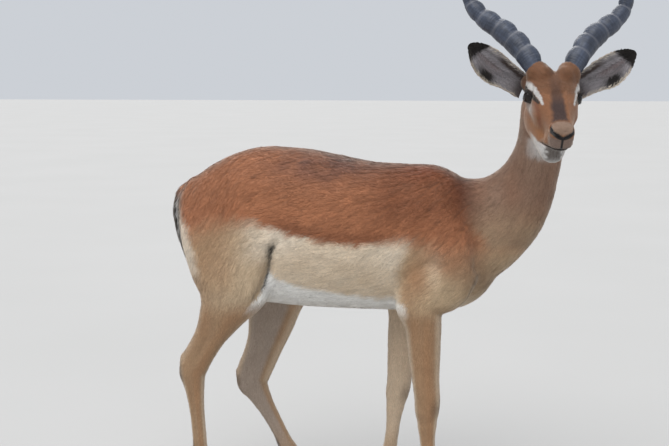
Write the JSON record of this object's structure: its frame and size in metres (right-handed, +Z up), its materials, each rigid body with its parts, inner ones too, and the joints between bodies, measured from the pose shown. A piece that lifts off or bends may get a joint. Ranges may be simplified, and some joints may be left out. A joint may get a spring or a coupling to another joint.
{
  "type": "impala ram",
  "caption": "Life-size standing antelope, head turned to its right, with ringed lyre-shaped horns, wide ears, slim legs and cloven hooves that rest on the floor.",
  "frame": {"origin": "on the floor under the middle of the bounding box", "axes": "+X ahead of the trunk, +Y to the animal's left, +Z up; the head looks along -Y and a little +X"},
  "size_m": [1.1208, 0.5006, 1.5702],
  "materials": {
    "coat_saddle": "short red-brown hair",
    "coat_tan": "short tan hair",
    "coat_ear": "thin skin with pale grey and black hair",
    "coat_tail": "black and white hair",
    "horn": "ringed grey-brown keratin, worn smooth at the tips",
    "hoof": "black keratin",
    "eye": "wet, near-black brown"
  },
  "bodies": {
    "root": {"trunk": "coat_saddle", "neck": "coat_saddle", "head": "coat_tan", "tail": "coat_tail", "foreleg_left": "coat_tan", "foreleg_right": "coat_tan", "hindleg_left": "coat_tan", "hindleg_right": "coat_tan", "ear_left": "coat_ear", "ear_right": "coat_ear", "eye_left": "eye", "eye_right": "eye", "horn_left": "horn", "horn_right": "horn", "hoof_fore_left": "hoof", "hoof_fore_right": "hoof", "hoof_hind_left": "hoof", "hoof_hind_right": "hoof"}
  },
  "joints": []
}
